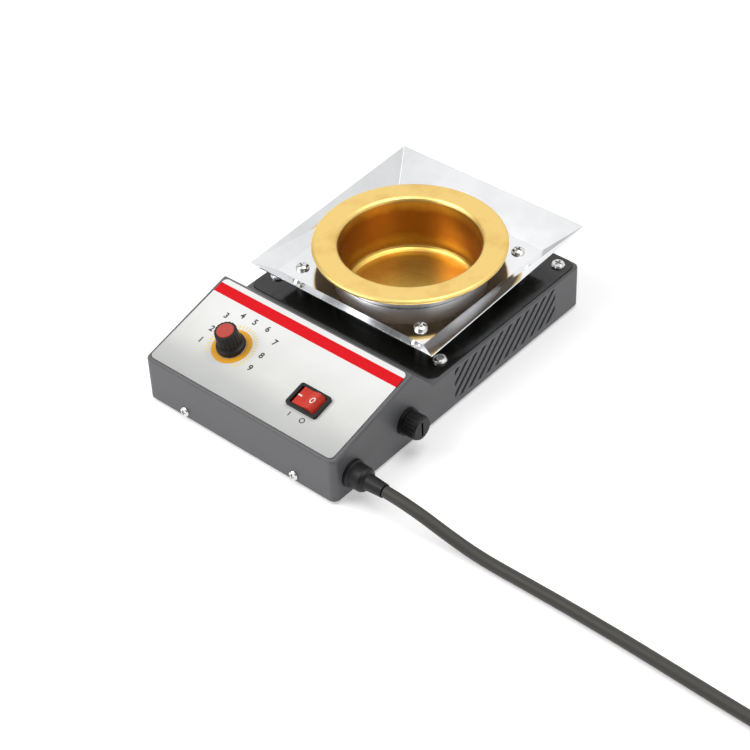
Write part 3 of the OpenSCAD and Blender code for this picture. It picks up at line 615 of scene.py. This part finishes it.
def printed_number(text, x, v, size):
    """A number printed on the label plate: x across and v up the slope, in millimetres."""
    stroke_growth = 0.16
    curve = bpy.data.curves.new("dial_" + text, "FONT")
    curve.body = text
    curve.size = size * mm
    curve.align_x = "CENTER"
    curve.align_y = "CENTER"
    curve.offset = stroke_growth * mm
    curve.resolution_u = 4
    holder = bpy.data.objects.new("dial_text", curve)
    bpy.context.scene.collection.objects.link(holder)
    bpy.context.view_layer.update()
    mesh = bpy.data.meshes.new_from_object(holder)
    bpy.data.objects.remove(holder)
    mesh.transform(CONSOLE @ Matrix.Translation(Vector((x, v, TOP_INK)) * mm))
    mesh.materials.clear()
    mesh.materials.append(MATERIALS["ink_black"])
    made = bpy.data.objects.new("dial_number_" + text, mesh)
    bpy.context.scene.collection.objects.link(made)
    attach(made, "base")


def make_dial():
    """The ring, its rays and the numbers round the knob."""
    x, v = -29.8, 30.4
    ring_r, ring_width = 9.9, 3.4
    ring = ribbon(circle_points(x, v, ring_r, 96), ring_width, closed=True, height=FIRST_INK)
    join_strokes("dial_ring", [ring], "ink_orange")
    ray_count, ray_from, ray_to, ray_width = 32, 12.2, 14.8, 0.7
    rays = []
    for k in range(ray_count):
        angle = radians(-45 + 270 * k / (ray_count - 1))
        ends = [on_circle(x, v, radius, angle) for radius in (ray_from, ray_to)]
        rays.append(ribbon(ends, ray_width, height=FIRST_INK))
    join_strokes("dial_rays", rays, "ink_yellow")
    number_size = 5.2
    places = [
        (-48.3, 25), (-48, 34), (-47, 45), (-38.5, 49.5), (-29.5, 49.5), (-20, 49.5), (-10.5, 44.5),
        (-11, 34), (-11, 24.5),
    ]
    for number, place in enumerate(places, 1):
        printed_number(str(number), *place, number_size)


make_dial()


def make_switch_marks():
    """The bar and the ring for on and off beside the rocker."""
    bar = ribbon([(27.6, 11.4), (27.6, 14.2)], 0.7)
    ring = ribbon(circle_points(36.6, 12.8, 1.4, 32), 0.6, closed=True)
    join_strokes("switch_marks", [bar, ring], "ink_black")


make_switch_marks()


# At rest the rocker's left face lies flat and its right face rises; both meet in a valley above
# the pivot, ROCKER_TILT degrees off the console's normal
ROCKER_TILT = 10
VALLEY_R = 4.9


def rocker_face(side, along, v):
    """A point on the rocker, in millimetres: side is -1 or 1 for its left or right face, and along
    runs from the valley outwards."""
    pivot = Vector(JOINTS["rocker_tilt"]["pos_m"])
    slope = radians(ROCKER_TILT * (1 + side))
    outward = (RIGHT * side * cos(slope) + OUT * sin(slope)).normalized()
    face_out = (OUT * cos(slope) - RIGHT * side * sin(slope)).normalized()
    tilt = radians(ROCKER_TILT)
    valley = pivot + (OUT * cos(tilt) - RIGHT * sin(tilt)) * VALLEY_R * mm
    return valley + (outward * along + UP * v + face_out * FIRST_INK) * mm


def make_rocker_marks():
    """The bar and the ring for on and off, on the rocker's two faces."""
    bar = [rocker_face(-1, *place) for place in ((3.4, -0.45), (6.0, -0.45), (6.0, 0.45), (3.4, 0.45))]
    mesh_piece("rocker_bar", bar, [(3, 2, 1, 0)], "ink_white", "rocker")
    ring_at, outer_r, inner_r, steps = 4.6, 1.9, 1.25, 40
    ring = [
        rocker_face(1, ring_at + x, v)
        for radius in (outer_r, inner_r) for x, v in circle_points(0, 0, radius, steps)
    ]
    faces = [(i, (i + 1) % steps, steps + (i + 1) % steps, steps + i) for i in range(steps)]
    mesh_piece("rocker_ring", ring, faces, "ink_white", "rocker")


make_rocker_marks()


# ---- Stage and light ----

def make_floor():
    """A white table just under the feet, lit a little from itself."""
    material, tree, shader = new_material("floor")
    cloud = noise(tree, 3, 3.0)
    colours = ramp(tree, cloud, [(0.3, (0.86, 0.86, 0.86)), (0.7, (0.88, 0.88, 0.88))])
    link(tree, colours, shader.inputs["Base Color"])
    shader.inputs["Roughness"].default_value = 0.9
    shader.inputs["Specular IOR Level"].default_value = 0.1
    shader.inputs["Emission Color"].default_value = (1, 1, 1, 1)
    shader.inputs["Emission Strength"].default_value = 0.4
    mesh = bpy.data.meshes.new("floor")
    half = 6.0
    corners = [(-half, -half, 0), (half, -half, 0), (half, half, 0), (-half, half, 0)]
    mesh.from_pydata(corners, [], [(0, 1, 2, 3)])
    mesh.materials.append(material)
    floor = bpy.data.objects.new("floor", mesh)
    floor.location.z = -0.2 * mm
    bpy.context.scene.collection.objects.link(floor)


def area_light(name, place, size, power):
    """A white lamp at a place, turned towards the object."""
    aim = Vector((0, 0, 0.03))
    data = bpy.data.lights.new(name, "AREA")
    data.shape = "RECTANGLE"
    data.size, data.size_y = size
    data.energy = power
    lamp = bpy.data.objects.new(name, data)
    lamp.location = place
    lamp.rotation_euler = (Vector(place) - aim).to_track_quat("Z", "Y").to_euler()
    bpy.context.scene.collection.objects.link(lamp)


def room_light(tree, horizon, top, dark_side):
    """Brightness of the room by direction: brighter overhead, darker past the object's right side."""
    where = node(tree, "ShaderNodeTexCoord")
    parts = node(tree, "ShaderNodeSeparateXYZ")
    link(tree, where.outputs["Generated"], parts.inputs[0])
    height = remap(tree, parts.outputs["Z"], -0.1, 1.0, horizon, top)
    side = remap(tree, parts.outputs["X"], -0.2, 0.85, 1.0, dark_side)
    panels = node(tree, "ShaderNodeTexNoise")
    panels.inputs["Scale"].default_value = 2.4
    panels.inputs["Detail"].default_value = 1.0
    link(tree, where.outputs["Generated"], panels.inputs["Vector"])
    uneven = remap(tree, panels.outputs["Fac"], 0.42, 0.58, 0.62, 1.08)
    return maths(tree, "MULTIPLY", maths(tree, "MULTIPLY", height, side), uneven)


def mirrored_room(tree):
    """What polished metal shows: bright screens at the front left, right and rear, darker gaps between
    them, and a bright ceiling."""
    # A turn of 0.5 points along x to the right, 0.75 to the rear and 0.25 to the front
    where = node(tree, "ShaderNodeTexCoord")
    parts = node(tree, "ShaderNodeSeparateXYZ")
    link(tree, where.outputs["Generated"], parts.inputs[0])
    bearing = maths(tree, "ARCTAN2", parts.outputs["Y"], parts.outputs["X"])
    turn = remap(tree, bearing, -pi, pi, 0.0, 1.0)
    screens = ramp(tree, turn, [
        (place, (level, level, level)) for place, level in (
            (0.0, 0.45), (0.05, 0.45), (0.08, 1.15), (0.235, 1.15), (0.265, 0.16), (0.42, 0.2),
            (0.455, 1.0), (0.62, 0.95), (0.70, 0.84), (0.80, 1.05), (0.92, 1.15), (1.0, 0.45)
        )
    ])
    ceiling = remap(tree, parts.outputs["Z"], 0.68, 0.84, 0.0, 1.0)
    streaks = noise(tree, 2.4, 2.0)
    level = mix(tree, ceiling, screens, (1.05, 1.05, 1.05))
    return mix(tree, remap(tree, streaks, 0.35, 0.65, 0.0, 0.12), level, (0.3, 0.3, 0.31))


def make_world():
    """White behind the object; a graded room for its light, and a brighter one in its reflections."""
    world = bpy.data.worlds.new("studio")
    world.use_nodes = True
    tree = world.node_tree
    tree.nodes.clear()
    output = node(tree, "ShaderNodeOutputWorld")
    lit = node(tree, "ShaderNodeBackground")
    link(tree, room_light(tree, horizon=0.3, top=0.62, dark_side=0.05), lit.inputs["Strength"])
    mirrored = node(tree, "ShaderNodeBackground")
    link(tree, mirrored_room(tree), mirrored.inputs["Color"])
    seen = node(tree, "ShaderNodeBackground")
    for background in (lit, seen):
        background.inputs["Color"].default_value = (1, 1, 1, 1)
    path = node(tree, "ShaderNodeLightPath")
    by_gloss = node(tree, "ShaderNodeMixShader")
    link(tree, path.outputs["Is Glossy Ray"], by_gloss.inputs["Fac"])
    link(tree, lit.outputs[0], by_gloss.inputs[1])
    link(tree, mirrored.outputs[0], by_gloss.inputs[2])
    by_camera = node(tree, "ShaderNodeMixShader")
    link(tree, path.outputs["Is Camera Ray"], by_camera.inputs["Fac"])
    link(tree, by_gloss.outputs[0], by_camera.inputs[1])
    link(tree, seen.outputs[0], by_camera.inputs[2])
    link(tree, by_camera.outputs[0], output.inputs["Surface"])
    bpy.context.scene.world = world


make_floor()
make_world()
area_light("key", (-0.5, -0.55, 0.9), (0.7, 0.7), 6.2)
area_light("top", (0.3, 0.12, 1.1), (0.9, 0.6), 5.2)

view = bpy.context.scene.view_settings
view.view_transform = "Standard"
view.look = "None"
